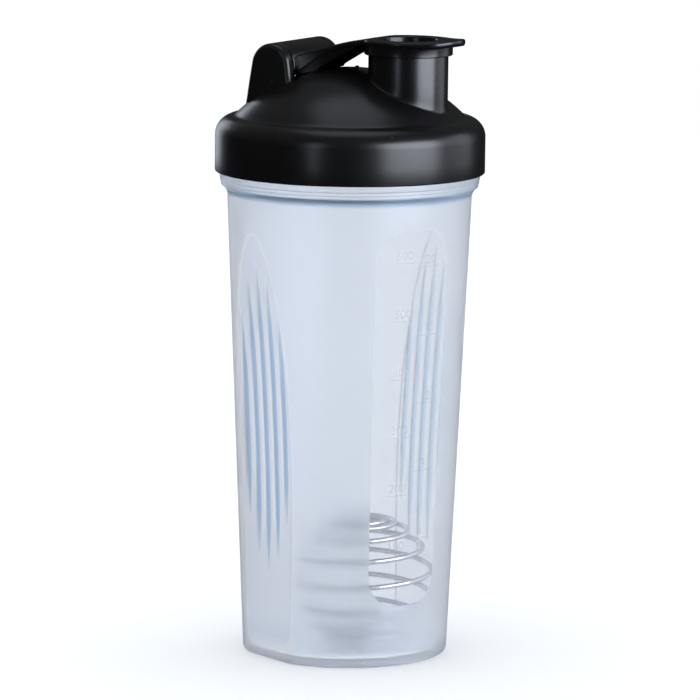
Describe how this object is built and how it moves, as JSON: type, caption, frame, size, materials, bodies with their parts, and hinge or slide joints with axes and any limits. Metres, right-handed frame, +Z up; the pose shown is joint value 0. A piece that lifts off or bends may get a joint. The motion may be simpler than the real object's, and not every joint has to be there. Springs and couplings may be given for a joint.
{
  "type": "shaker bottle",
  "caption": "Tapered translucent shaker bottle with grip panels, a screw lid with a spout and a hinged flip cap, and a loose wire whisk ball inside.",
  "frame": {"origin": "centre of the bottle's foot, on the surface it stands on", "axes": "+Z up along the bottle's axis, +X towards the spout, the flip cap's hinge at -X with its axis along Y"},
  "size_m": [0.097, 0.097, 0.224],
  "materials": {
    "frosted_bottle": "frosted translucent polypropylene",
    "black_lid": "satin black polypropylene",
    "silicone_seal": "matte",
    "black_cap": "satin black polypropylene",
    "steel_wire": "bright drawn stainless wire"
  },
  "bodies": {
    "bottle": {"bottle": "frosted_bottle"},
    "seal": {"seal_ring": "silicone_seal"},
    "lid": {"lid": "black_lid"},
    "cap": {"flip_cap": "black_cap"},
    "ball": {"wire_ball": "steel_wire"}
  },
  "joints": [
    {"name": "lid_rise", "type": "slide", "parent": "bottle", "child": "seal", "axis": [0, 0, 1], "range_m": [0, 0.01805]},
    {"name": "lid_turn", "type": "hinge", "parent": "seal", "child": "lid", "pos_m": [0, 0, 0.18], "axis": [0, 0, 1], "range_deg": [0, 720]},
    {"name": "cap_flip", "type": "hinge", "parent": "lid", "child": "cap", "pos_m": [-0.0228, 0, 0.2122], "axis": [0, -1, 0], "range_deg": [0, 120]},
    {"name": "ball_lift", "type": "slide", "parent": "bottle", "child": "ball", "axis": [0, 0, 1], "range_m": [0, 0.15]}
  ],
  "couplings": [
    {"joint": "lid_rise", "follows": "lid_turn", "m_per_rad": 0.0014324}
  ]
}
